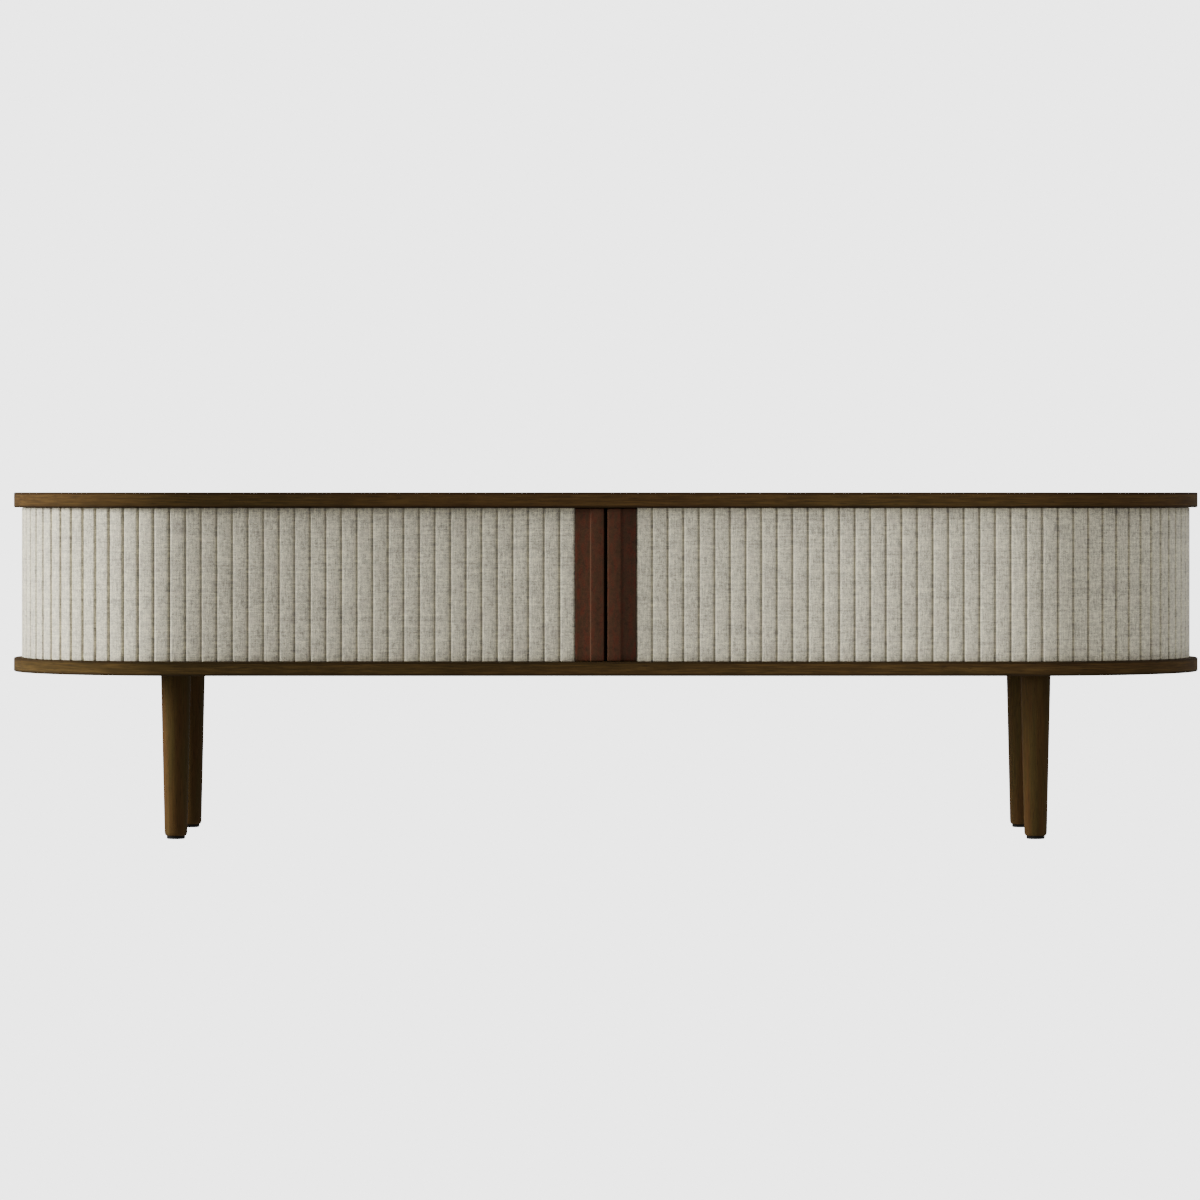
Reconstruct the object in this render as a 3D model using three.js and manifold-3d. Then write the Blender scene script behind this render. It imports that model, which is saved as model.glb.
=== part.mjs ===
// A low media cabinet: two stadium-shaped boards on four turned legs, an inner case between
// them, and two tambour doors that run in grooves round the ends and along the back.
// Millimetres, +Z up, the front faces -Y, and the origin is on the floor under the middle.
import * as THREE from "three";
import { mergeVertices } from "three/addons/utils/BufferGeometryUtils.js";
import Module from "manifold-3d";

const wasm = await Module();
wasm.setup();

// ---- Driving dimensions ----
const length = 1500;
const depth = 464;
const legHeight = 206;
const bottomThickness = 17.5;
const doorClearance = 189.5;
const topThickness = 19;
const gap = 0.3; // between pieces that touch
const easedEdge = 1.6; // chamfer on the rims of both boards

// The tambour track, as a line round the inner face of the doors' backing cloth.
const endSlats = 35; // slats that fill each half-circle exactly
const slatPitch = 19.2;
const trackRadius = (endSlats * slatPitch) / Math.PI;
const boardRadius = depth / 2;
const straightHalf = length / 2 - boardRadius;

// One slat, in its own section: 0 is the inner face of the backing cloth.
const slatThickness = 8;
const slatGroove = 2.2; // open line between two slats
const slatOuterEase = 1.6;
const slatInnerEase = 0.8;
const clothThickness = 1.2;
const doorPlay = 0.8; // above and below the slats
const tongueInset = 2.1; // from each face of a slat to its tongue
const tongueLength = 5.2;
const grooveInset = 0.9; // from each face of a slat to the board's groove
const grooveDepth = 6.4;

// One door, in slats from the pull to its trailing end.
const meetingHalfGap = 2;
const pullWidth = 36;
const leadSlats = 5;
const frontGroups = Array(10).fill(2);
const arcSlats = 15;
const rearGroups = [3, 3, 3, 3, 3, 3, 2];
const tailSlats = 5;

// The pull: a leather-faced stile whose inner half is a raised rib.
const stileThickness = 4.7;
const pullFlat = 8;
const pullRib = 12.2;
const ribWidth = 17;
const pullEase = 1.4;

// The inner case.
const caseHalfLength = 490;
const caseFront = -185;
const caseBack = 190;
const sideThickness = 15;
const partitionThickness = 18;
const backThickness = 12;
const shelfThickness = 12;
const shelfFront = -150;
const shelfMiddle = 318;
const cableHoleRadius = 30;
const postHalfWidth = 34.5;
const postBack = trackRadius + slatThickness;

// Legs and their glides.
const legX = 536;
const legY = 130;
const legTopRadius = 18.7;
const legFootRadius = 14.2;
const legEase = 2.5;
const glideHeight = 3.6;
const glideRadius = 11.5;

const bottomZ = legHeight;
const caseZ = bottomZ + bottomThickness;
const topZ = caseZ + doorClearance;

// ---- Finishes ----
const darkOak = new THREE.MeshStandardMaterial({ color: "#4a3420", roughness: 0.55 });
const fabric = new THREE.MeshStandardMaterial({ color: "#b5b1a2", roughness: 0.95 });
const leather = new THREE.MeshStandardMaterial({ color: "#3e2518", roughness: 0.5 });
const blackPlastic = new THREE.MeshStandardMaterial({ color: "#161616", roughness: 0.6 });

// ---- Solids ----
function toSolid(geometry) {
  const bare = geometry.clone();
  bare.deleteAttribute("normal");
  bare.deleteAttribute("uv");
  const merged = mergeVertices(bare, 1e-4);
  const vertProperties = new Float32Array(merged.attributes.position.array);
  const triVerts = new Uint32Array(merged.index.array);
  return new wasm.Manifold(new wasm.Mesh({ numProp: 3, vertProperties, triVerts }));
}

function toGeometry(solid) {
  const { vertProperties, triVerts } = solid.getMesh();
  const geometry = new THREE.BufferGeometry();
  geometry.setAttribute("position", new THREE.BufferAttribute(vertProperties, 3));
  geometry.setIndex(new THREE.BufferAttribute(triVerts, 1));
  return geometry;
}

function part(name, geometry, material) {
  const mesh = new THREE.Mesh(geometry, material);
  mesh.name = name;
  return mesh;
}

// An upright prism over an outline, from z = low to z = high.
function prism(outline, low, high, curveSegments = 12) {
  const options = { depth: high - low, bevelEnabled: false, curveSegments };
  return new THREE.ExtrudeGeometry(outline, options).translate(0, 0, low);
}

// Two straight sides joined by half-circles of the given radius.
function stadium(PathType, radius) {
  const outline = new PathType();
  outline.moveTo(-straightHalf, -radius);
  outline.lineTo(straightHalf, -radius);
  outline.absarc(straightHalf, 0, radius, -Math.PI / 2, Math.PI / 2, false);
  outline.lineTo(-straightHalf, radius);
  outline.absarc(-straightHalf, 0, radius, Math.PI / 2, (3 * Math.PI) / 2, false);
  return outline;
}

function rectangle(xLow, xHigh, yLow, yHigh) {
  const outline = new THREE.Shape();
  outline.moveTo(xLow, yLow);
  outline.lineTo(xHigh, yLow);
  outline.lineTo(xHigh, yHigh);
  outline.lineTo(xLow, yHigh);
  outline.closePath();
  return outline;
}

// ---- Boards ----
function board(name, low, thickness, grooveLow) {
  const slab = new THREE.ExtrudeGeometry(stadium(THREE.Shape, boardRadius), {
    depth: thickness - 2 * easedEdge,
    bevelThickness: easedEdge,
    bevelSize: easedEdge,
    bevelOffset: -easedEdge,
    bevelSegments: 1,
    curveSegments: 12,
  }).translate(0, 0, low + easedEdge);
  const ring = stadium(THREE.Shape, trackRadius + slatThickness - grooveInset);
  ring.holes.push(stadium(THREE.Path, trackRadius + grooveInset));
  const groove = prism(ring, grooveLow, grooveLow + grooveDepth + 1);
  return part(name, toGeometry(toSolid(slab).subtract(toSolid(groove))), darkOak);
}

// ---- Doors ----
// The point at a distance along the track and an offset outward from it, on the slat whose
// middle is at the distance "middle". The slat is flat, so it is laid along its own tangent.
function trackPoint(middle, along, offset) {
  const arcEnd = straightHalf + Math.PI * trackRadius;
  const turn = THREE.MathUtils.clamp((middle - straightHalf) / trackRadius, 0, Math.PI);
  const beyond = Math.max(middle - arcEnd, 0);
  const x = Math.min(middle, straightHalf) + trackRadius * Math.sin(turn) - beyond;
  const y = -trackRadius * Math.cos(turn);
  const step = along - middle;
  return new THREE.Vector2(
    x + step * Math.cos(turn) + offset * Math.sin(turn),
    y + step * Math.sin(turn) - offset * Math.cos(turn),
  );
}

// The outline in plan of a run of slats joined by their backing cloth.
function slatRun(start, count) {
  const outer = [];
  const inner = [];
  for (let i = 0; i < count; i++) {
    const low = start + i * slatPitch;
    const high = low + slatPitch;
    const middle = (low + high) / 2;
    const a = low + slatGroove / 2;
    const b = high - slatGroove / 2;
    const first = i === 0;
    const last = i === count - 1;
    const at = (along, offset) => trackPoint(middle, along, offset);
    outer.push(first ? at(a, slatInnerEase) : at(a, clothThickness));
    outer.push(at(a, slatThickness - slatOuterEase), at(a + slatOuterEase, slatThickness));
    outer.push(at(b - slatOuterEase, slatThickness), at(b, slatThickness - slatOuterEase));
    outer.push(last ? at(b, slatInnerEase) : at(b, clothThickness));
    if (first) inner.push(at(a + slatInnerEase, 0));
    inner.push(last ? at(b - slatInnerEase, 0) : at(high, 0));
  }
  return [...outer, ...inner.reverse()];
}

// The leading stile and its first slats share one strip of cloth, on the straight front.
function leadRun() {
  const start = meetingHalfGap;
  const end = start + pullWidth;
  const at = (along, offset) => trackPoint(start, along, offset);
  const slats = slatRun(end, leadSlats);
  slats[0] = at(end + slatGroove / 2, clothThickness);
  slats.pop();
  const stile = [at(start, 0), at(start, stileThickness), at(end, stileThickness)];
  return [...stile, at(end, clothThickness), ...slats];
}

// Strips that stand up into the board's groove and down into the other one.
function tongueRun(start, count) {
  const inner = [];
  const outer = [];
  for (let i = 0; i < count; i++) {
    const low = start + i * slatPitch;
    const high = low + slatPitch;
    const middle = (low + high) / 2;
    const from = i === 0 ? low + 2 * slatGroove : low;
    const to = i === count - 1 ? high - 2 * slatGroove : high;
    if (i === 0) {
      outer.push(trackPoint(middle, from, slatThickness - tongueInset));
      inner.push(trackPoint(middle, from, tongueInset));
    }
    outer.push(trackPoint(middle, to, slatThickness - tongueInset));
    inner.push(trackPoint(middle, to, tongueInset));
  }
  return [...outer, ...inner.reverse()];
}

const side = (points, sign) => new THREE.Shape(points.map((p) => new THREE.Vector2(sign * p.x, p.y)));

function freeSlats(name, start, count, sign) {
  const body = prism(side(slatRun(start, count), sign), caseZ + doorPlay, topZ - doorPlay);
  return part(name, body, fabric);
}

function guidedSlats(name, points, tongues, sign) {
  const body = toSolid(prism(side(points, sign), caseZ + doorPlay, topZ - doorPlay));
  const strip = toSolid(prism(side(tongues, sign), caseZ - tongueLength, topZ + tongueLength));
  return part(name, toGeometry(body.add(strip)), fabric);
}

// The leather pull, in plan: a raised rib beside the meeting line, then a flat strip.
function pull(name, sign) {
  const start = meetingHalfGap;
  const rib = start + ribWidth;
  const end = start + pullWidth - gap;
  const at = (along, offset) => trackPoint(start, along, offset);
  const points = [
    at(start, stileThickness + gap),
    at(start, pullRib - pullEase),
    at(start + pullEase, pullRib),
    at(rib - pullEase, pullRib),
    at(rib, pullRib - pullEase),
    at(rib, pullFlat),
    at(end - pullEase, pullFlat),
    at(end, pullFlat - pullEase),
    at(end, stileThickness + gap),
  ];
  return part(name, prism(side(points, sign), caseZ + doorPlay, topZ - doorPlay), leather);
}

function door(sideName, sign) {
  const group = new THREE.Group();
  const leadStart = meetingHalfGap + pullWidth;
  let start = leadStart + leadSlats * slatPitch;
  group.add(guidedSlats(`${sideName}_door_leading_slats`, leadRun(), tongueRun(leadStart, leadSlats), sign));
  group.add(pull(`${sideName}_door_leather_pull`, sign));
  frontGroups.forEach((count, i) => {
    group.add(freeSlats(`${sideName}_door_front_slats_${i + 1}`, start, count, sign));
    start += count * slatPitch;
  });
  const arc = [slatRun(start, arcSlats), tongueRun(start, arcSlats)];
  group.add(guidedSlats(`${sideName}_door_end_slats`, ...arc, sign));
  start += arcSlats * slatPitch;
  rearGroups.forEach((count, i) => {
    group.add(freeSlats(`${sideName}_door_rear_slats_${i + 1}`, start, count, sign));
    start += count * slatPitch;
  });
  const tail = [slatRun(start, tailSlats), tongueRun(start, tailSlats)];
  group.add(guidedSlats(`${sideName}_door_trailing_slats`, ...tail, sign));
  return group;
}

// ---- Inner case ----
const caseLow = caseZ + gap;
const caseHigh = topZ - gap;

function panel(name, xLow, xHigh, yLow, yHigh, low = caseLow, high = caseHigh) {
  return part(name, prism(rectangle(xLow, xHigh, yLow, yHigh), low, high), darkOak);
}

function backPanel() {
  const inside = caseHalfLength - sideThickness - gap;
  const outline = rectangle(-inside, inside, caseLow, caseHigh);
  const holeX = (inside + partitionThickness / 2) / 2;
  for (const x of [-holeX, holeX]) {
    const hole = new THREE.Path();
    hole.absarc(x, caseZ + doorClearance / 4, cableHoleRadius, 0, 2 * Math.PI, true);
    outline.holes.push(hole);
  }
  const options = { depth: backThickness, bevelEnabled: false, curveSegments: 12 };
  const mesh = part("back_panel", new THREE.ExtrudeGeometry(outline, options), darkOak);
  mesh.rotation.x = Math.PI / 2;
  mesh.position.y = caseBack;
  return mesh;
}

function innerCase() {
  const group = new THREE.Group();
  const sideIn = caseHalfLength - sideThickness;
  const backFace = caseBack - backThickness - gap;
  const halfPartition = partitionThickness / 2;
  const shelfLow = shelfMiddle - shelfThickness / 2;
  const shelfSpan = [halfPartition + gap, sideIn - gap];
  const shelfBox = [shelfFront, backFace, shelfLow, shelfLow + shelfThickness];
  group.add(backPanel());
  group.add(panel("left_side_panel", -caseHalfLength, -sideIn, caseFront, caseBack));
  group.add(panel("right_side_panel", sideIn, caseHalfLength, caseFront, caseBack));
  group.add(panel("centre_partition", -halfPartition, halfPartition, caseFront, backFace));
  group.add(panel("left_shelf", -shelfSpan[1], -shelfSpan[0], ...shelfBox));
  group.add(panel("right_shelf", ...shelfSpan, ...shelfBox));
  group.add(panel("rear_post", -postHalfWidth, postHalfWidth, caseBack + gap, postBack));
  return group;
}

// ---- Legs ----
// A turned solid standing on z = 0, from its half-section as [radius, height] pairs.
function turned(name, section, material) {
  const points = section.map(([r, z]) => new THREE.Vector2(r, z));
  const geometry = new THREE.LatheGeometry(points, 20).rotateX(Math.PI / 2);
  return part(name, geometry, material);
}

function leg(name, x, y) {
  const low = glideHeight + gap;
  const high = legHeight - gap;
  const section = [
    [0, low],
    [legFootRadius - legEase, low],
    [legFootRadius - 0.3 * legEase, low + 0.3 * legEase],
    [legFootRadius, low + legEase],
    [legTopRadius, high],
    [0, high],
  ];
  const mesh = turned(`${name}_leg`, section, darkOak);
  mesh.position.set(x, y, 0);
  return mesh;
}

function glide(name, x, y) {
  const section = [
    [0, 0],
    [glideRadius - 1, 0],
    [glideRadius, 1],
    [glideRadius, glideHeight],
    [0, glideHeight],
  ];
  const mesh = turned(`${name}_glide`, section, blackPlastic);
  mesh.position.set(x, y, 0);
  return mesh;
}

function legs() {
  const group = new THREE.Group();
  for (const [row, ySign] of [["front", -1], ["rear", 1]]) {
    for (const [end, xSign] of [["left", -1], ["right", 1]]) {
      group.add(leg(`${row}_${end}`, xSign * legX, ySign * legY));
      group.add(glide(`${row}_${end}`, xSign * legX, ySign * legY));
    }
  }
  return group;
}

// ---- The cabinet ----
const cabinet = new THREE.Group();
cabinet.add(board("top_board", topZ, topThickness, topZ - 1));
cabinet.add(board("bottom_board", bottomZ, bottomThickness, caseZ - grooveDepth));
cabinet.add(innerCase(), legs(), door("left", -1), door("right", 1));

export default cabinet;
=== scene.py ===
"""A low stadium-shaped media cabinet with two fabric tambour doors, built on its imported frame.

Everything is in metres in the frame's own axes: +X along the length, the front faces -Y, +Z up.
"""
import logging
import math
from collections.abc import Sequence
from dataclasses import dataclass, field
from enum import Enum

import bpy
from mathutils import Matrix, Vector


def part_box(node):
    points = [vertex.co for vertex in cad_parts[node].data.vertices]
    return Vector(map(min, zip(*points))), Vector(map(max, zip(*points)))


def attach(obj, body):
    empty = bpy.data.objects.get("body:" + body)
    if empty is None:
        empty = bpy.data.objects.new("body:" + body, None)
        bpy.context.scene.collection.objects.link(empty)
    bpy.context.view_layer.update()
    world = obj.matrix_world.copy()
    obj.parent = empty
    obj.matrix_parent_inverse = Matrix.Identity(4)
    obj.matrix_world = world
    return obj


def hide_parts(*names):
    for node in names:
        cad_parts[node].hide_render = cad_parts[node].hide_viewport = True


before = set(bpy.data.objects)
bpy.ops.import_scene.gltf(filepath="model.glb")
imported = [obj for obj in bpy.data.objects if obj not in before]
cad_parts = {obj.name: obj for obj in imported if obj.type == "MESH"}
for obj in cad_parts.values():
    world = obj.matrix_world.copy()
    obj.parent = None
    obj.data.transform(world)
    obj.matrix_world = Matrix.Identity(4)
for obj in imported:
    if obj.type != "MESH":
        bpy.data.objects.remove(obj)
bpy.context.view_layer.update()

log = logging.getLogger("media_cabinet")
MM = 0.001
Pair = tuple[float, float]
Point = tuple[float, float, float]


# ---------------------------------------------------------------- small tools


def linear(hex_colour: str) -> tuple[float, float, float, float]:
    """Turns an sRGB hex colour into linear light.

    Args:
        hex_colour: Six hex digits after a #.

    Returns:
        Linear red, green and blue, and an alpha of 1.
    """
    channels = [int(hex_colour[i : i + 2], 16) / 255 for i in (1, 3, 5)]
    light = [c / 12.92 if c <= 0.04045 else ((c + 0.055) / 1.055) ** 2.4 for c in channels]
    return (light[0], light[1], light[2], 1.0)


def add(
    tree: bpy.types.NodeTree,
    kind: str,
    inputs: dict | None = None,
    stops: Sequence[tuple[float, str]] = (),
    **settings: object,
) -> bpy.types.Node:
    """Adds one node with its settings, values and links.

    Args:
        tree: The shader or geometry tree that gets the node.
        kind: The node's type name.
        inputs: Input names or numbers, each with a value or with a socket to link from.
        stops: For a colour ramp, its positions and hex colours.
        settings: The node's own properties.

    Returns:
        The new node.
    """
    made = tree.nodes.new(kind)
    for name, value in settings.items():
        setattr(made, name, value)
    for key, value in (inputs or {}).items():
        if isinstance(value, bpy.types.NodeSocket):
            tree.links.new(value, made.inputs[key])
        else:
            made.inputs[key].default_value = value
    if stops:
        elements = made.color_ramp.elements
        while len(elements) < len(stops):
            elements.new(1.0)
        for element, (position, colour) in zip(elements, stops):
            element.position = position
            element.color = linear(colour)
    return made


def arc(centre: Pair, radius: float, start: float, end: float, steps: int) -> list[Pair]:
    """Returns points on a circular arc.

    Args:
        centre: The arc's centre.
        radius: Its radius.
        start: The first point's angle in degrees.
        end: The last point's angle in degrees.
        steps: The number of chords.

    Returns:
        One more point than there are steps.
    """
    angles = [math.radians(start + (end - start) * i / steps) for i in range(steps + 1)]
    return [(centre[0] + radius * math.cos(a), centre[1] + radius * math.sin(a)) for a in angles]


def offset_loop(loop: Sequence[Pair], distance: float) -> list[Pair]:
    """Moves a closed counter-clockwise loop inward.

    Args:
        loop: The loop's points.
        distance: How far each side moves.

    Returns:
        The moved points.
    """
    moved = []
    for i, (x, y) in enumerate(loop):
        (ax, ay), (bx, by) = loop[i - 1], loop[(i + 1) % len(loop)]
        tx, ty = bx - ax, by - ay
        size = math.hypot(tx, ty) or 1.0
        moved.append((x - ty / size * distance, y + tx / size * distance))
    return moved


# ---------------------------------------------------------------- meshes


@dataclass
class Draft:
    """Points and faces on the way to becoming one piece."""

    points: list[Point] = field(default_factory=list)
    faces: list[tuple[int, ...]] = field(default_factory=list)
    maps: list[list[Pair]] = field(default_factory=list)
    edges: list[float] = field(default_factory=list)
    wraps: list[float] = field(default_factory=list)

    def loop(self, points: Sequence[Point], edge: float = 0.0, wraps: Sequence[float] = ()) -> list[int]:
        """Adds a row of points.

        Args:
            points: The row.
            edge: How much of an eased edge the row is, from 0 to 1.
            wraps: Each point's distance round its section, for cloth that is wrapped.

        Returns:
            The new points' numbers.
        """
        first = len(self.points)
        self.points += points
        self.edges += [edge] * len(points)
        self.wraps += list(wraps) or [0.0] * len(points)
        return list(range(first, first + len(points)))

    def face(self, corners: Sequence[int], uv: Sequence[Pair]) -> None:
        """Adds one face with its corners on the map."""
        self.faces.append(tuple(corners))
        self.maps.append(list(uv))

    def join(self, other: "Draft") -> None:
        """Adds another draft's points and faces to this one.

        Args:
            other: The draft that is added.
        """
        shift = len(self.points)
        self.points += other.points
        self.faces += [tuple(c + shift for c in corners) for corners in other.faces]
        self.maps += other.maps
        self.edges += other.edges
        self.wraps += other.wraps

    def mesh(self, name: str, sharp_degrees: float = 40.0) -> bpy.types.Mesh:
        """Builds the mesh with its map, its eased edges and its shading.

        Args:
            name: The mesh's name.
            sharp_degrees: Edges that turn by more than this stay sharp.

        Returns:
            The mesh.
        """
        mesh = bpy.data.meshes.new(name)
        mesh.from_pydata(self.points, [], self.faces)
        layer = mesh.uv_layers.new(name="UVMap")
        flat = [value for uv in self.maps for pair in uv for value in pair]
        layer.data.foreach_set("uv", flat)
        mesh.attributes.new("edge", "FLOAT", "POINT").data.foreach_set("value", self.edges)
        mesh.attributes.new("wrap", "FLOAT", "POINT").data.foreach_set("value", self.wraps)
        mesh.shade_smooth()
        mesh.set_sharp_from_angle(angle=math.radians(sharp_degrees))
        mesh.validate()
        return mesh


def place(
    mesh: bpy.types.Mesh,
    name: str,
    material: bpy.types.Material,
    body: str = "root",
    stands_for: Sequence[str] = (),
) -> bpy.types.Object:
    """Makes a piece of a finished mesh and lets it ride on its body.

    Args:
        mesh: The mesh, with its place in its points.
        name: The piece's name.
        material: Its finish.
        body: The body it moves with.
        stands_for: Nodes of the frame that it is shown instead of.

    Returns:
        The piece.
    """
    mesh.materials.clear()
    mesh.materials.append(material)
    piece = bpy.data.objects.new(name, mesh)
    bpy.context.scene.collection.objects.link(piece)
    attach(piece, body)
    if stands_for:
        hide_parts(*stands_for)
    log.info("%s rides on %s with %d faces", name, body, len(mesh.polygons))
    return piece


def upright_prism(profile: Sequence[Pair], low: float, high: float, ease: float, steps: int) -> Draft:
    """Drafts a closed upright solid over a profile, with its ends eased.

    Args:
        profile: A counter-clockwise loop in plan.
        low: The height of its lower end.
        high: The height of its upper end.
        ease: How far the ends are eased.
        steps: Rows between the ends.

    Returns:
        The draft, whose map is the distance round the profile and the height.
    """
    draft = Draft()
    round_it = [0.0]
    for i, (x, y) in enumerate(profile):
        ax, ay = profile[(i + 1) % len(profile)]
        round_it.append(round_it[-1] + math.hypot(ax - x, ay - y))
    half = round_it[-2] / 2
    wraps = [w - half for w in round_it]
    heights = [low + ease + (high - low - 2 * ease) * i / steps for i in range(steps + 1)]
    part = ease * 0.3  # the easing turns over in two facets, and this is where they meet
    rows = [(low, ease, 1.0), (low + part, part, 1.0)]
    rows += [(z, 0.0, 0.0) for z in heights]
    rows += [(high - part, part, 1.0), (high, ease, 1.0)]
    loops = []
    for z, inset, edge in rows:
        shape = offset_loop(profile, inset) if inset else profile
        loops.append(draft.loop([(x, y, z) for x, y in shape], edge, wraps[:-1]))
    count = len(profile)
    for (z0, _, _), (z1, _, _), lower, upper in zip(rows, rows[1:], loops, loops[1:]):
        for i in range(count):
            j = (i + 1) % count
            uv = [(wraps[i], z0), (wraps[i + 1], z0), (wraps[i + 1], z1), (wraps[i], z1)]
            draft.face([lower[i], lower[j], upper[j], upper[i]], uv)
    for cap in (loops[0][::-1], loops[-1]):
        draft.face(cap, [draft.points[i][:2] for i in cap])
    return draft


def turned(
    section: Sequence[Pair],
    centre: Point,
    axis: Point = (0, 0, 1),
    segments: int = 56,
    closed: bool = False,
) -> Draft:
    """Drafts a turned solid.

    Args:
        section: Radius and height pairs, upward on the outside. Radius 0 ends it on the axis.
        centre: Where height 0 is.
        axis: The direction of height, along X, Y or Z.
        segments: Sides round the axis.
        closed: True if the section is a loop that stays off the axis.

    Returns:
        The draft.
    """
    draft = Draft()
    x_way = (1.0, 0.0, 0.0) if not axis[0] else (0.0, 1.0, 0.0)
    y_way = (
        axis[1] * x_way[2] - axis[2] * x_way[1],
        axis[2] * x_way[0] - axis[0] * x_way[2],
        axis[0] * x_way[1] - axis[1] * x_way[0],
    )
    rows = []
    for radius, height in section:
        angles = [2 * math.pi * k / segments for k in range(segments)] if radius else [0.0]
        ring = []
        for a in angles:
            u, v = radius * math.cos(a), radius * math.sin(a)
            ring.append(tuple(centre[n] + u * x_way[n] + v * y_way[n] + height * axis[n] for n in range(3)))
        rows.append(draft.loop(ring))
    pairs = list(zip(range(len(rows)), range(1, len(rows))))
    if closed:
        pairs.append((len(rows) - 1, 0))
    for a, b in pairs:
        lower, upper = rows[a], rows[b]
        for k in range(segments):
            m = (k + 1) % segments
            corners = [lower[k % len(lower)], lower[m % len(lower)]]
            corners += [upper[m % len(upper)], upper[k % len(upper)]]
            corners = list(dict.fromkeys(corners))
            if len(corners) > 2:
                draft.face(corners, [(draft.points[c][2], draft.points[c][0]) for c in corners])
    return draft


def eased_box(low: Point, high: Point, ease: float, grain: int) -> Draft:
    """Drafts a board with eased edges.

    Args:
        low: Its lowest corner.
        high: Its highest corner.
        ease: The radius of its edges.
        grain: The axis that its grain runs along, as 0, 1 or 2.

    Returns:
        The draft, whose map has the grain along U.
    """
    draft = Draft()
    steps = 3
    least = 0.02  # share of the easing that a corner keeps at the caps, so that it stays open
    corners = [((high[0] - ease, high[1] - ease), 0), ((low[0] + ease, high[1] - ease), 90)]
    corners += [((low[0] + ease, low[1] + ease), 180), ((high[0] - ease, low[1] + ease), 270)]
    rows = []
    for k in range(steps + 1):
        a = math.radians(-90 + 90 * k / steps)
        rows.append((low[2] + ease + ease * math.sin(a), ease * (1 - math.cos(a))))
    rows += [(low[2] + high[2] - z, inset) for z, inset in reversed(rows)]
    loops = []
    for z, inset in rows:
        ring = []
        for centre, turn in corners:
            ring += arc(centre, max(ease - inset, ease * least), turn, turn + 90, steps)
        loops.append(draft.loop([(x, y, z) for x, y in ring], 1.0 if inset else 0.0))
    count = len(loops[0])
    across = [(1, 2), (0, 2), (0, 1)][grain]

    def mapped(indices: Sequence[int], flat: int) -> list[Pair]:
        """Maps one face.

        Args:
            indices: The numbers of its points.
            flat: The axis that its normal is mostly along.

        Returns:
            Each point's place on the map.
        """
        other = across[0] if across[1] == flat else across[1]
        if grain == flat:  # end grain has no long streaks, so its map is squeezed
            return [(draft.points[i][across[0]] * 0.2, draft.points[i][across[1]]) for i in indices]
        return [(draft.points[i][grain], draft.points[i][other]) for i in indices]

    for lower, upper in zip(loops, loops[1:]):
        for i in range(count):
            j = (i + 1) % count
            side = (i // (steps + 1)) % 2
            ring = [lower[i], lower[j], upper[j], upper[i]]
            draft.face(ring, mapped(ring, 1 if side == 0 else 0))
    for cap in (loops[0][::-1], loops[-1]):
        draft.face(cap, mapped(cap, 2))
    return draft


# ---------------------------------------------------------------- finishes


class Grain(Enum):
    """How a wood finish finds the direction of its grain."""

    SHEET = "along U of the piece's own map, as on a veneer or an edge band"
    UPRIGHT = "along Z, as in a turned leg"
    LONG = "along X, as in a panel left as the frame made it"


class Finish:
    """A material with one principled surface, which each kind of finish describes."""

    name: str

    def surface(self, tree: bpy.types.NodeTree) -> dict[str, object]:
        """Adds the nodes of the pattern.

        Args:
            tree: The material's node tree.

        Returns:
            The surface's inputs.
        """
        raise NotImplementedError

    def build(self) -> bpy.types.Material:
        """Builds the material.

        Returns:
            The material, whose surface is what this kind of finish describes.
        """
        material = bpy.data.materials.new(self.name)
        material.use_nodes = True
        tree = material.node_tree
        tree.nodes.clear()
        shader = add(tree, "ShaderNodeBsdfPrincipled", self.surface(tree))
        add(tree, "ShaderNodeOutputMaterial", {0: shader.outputs[0]})
        return material


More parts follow.
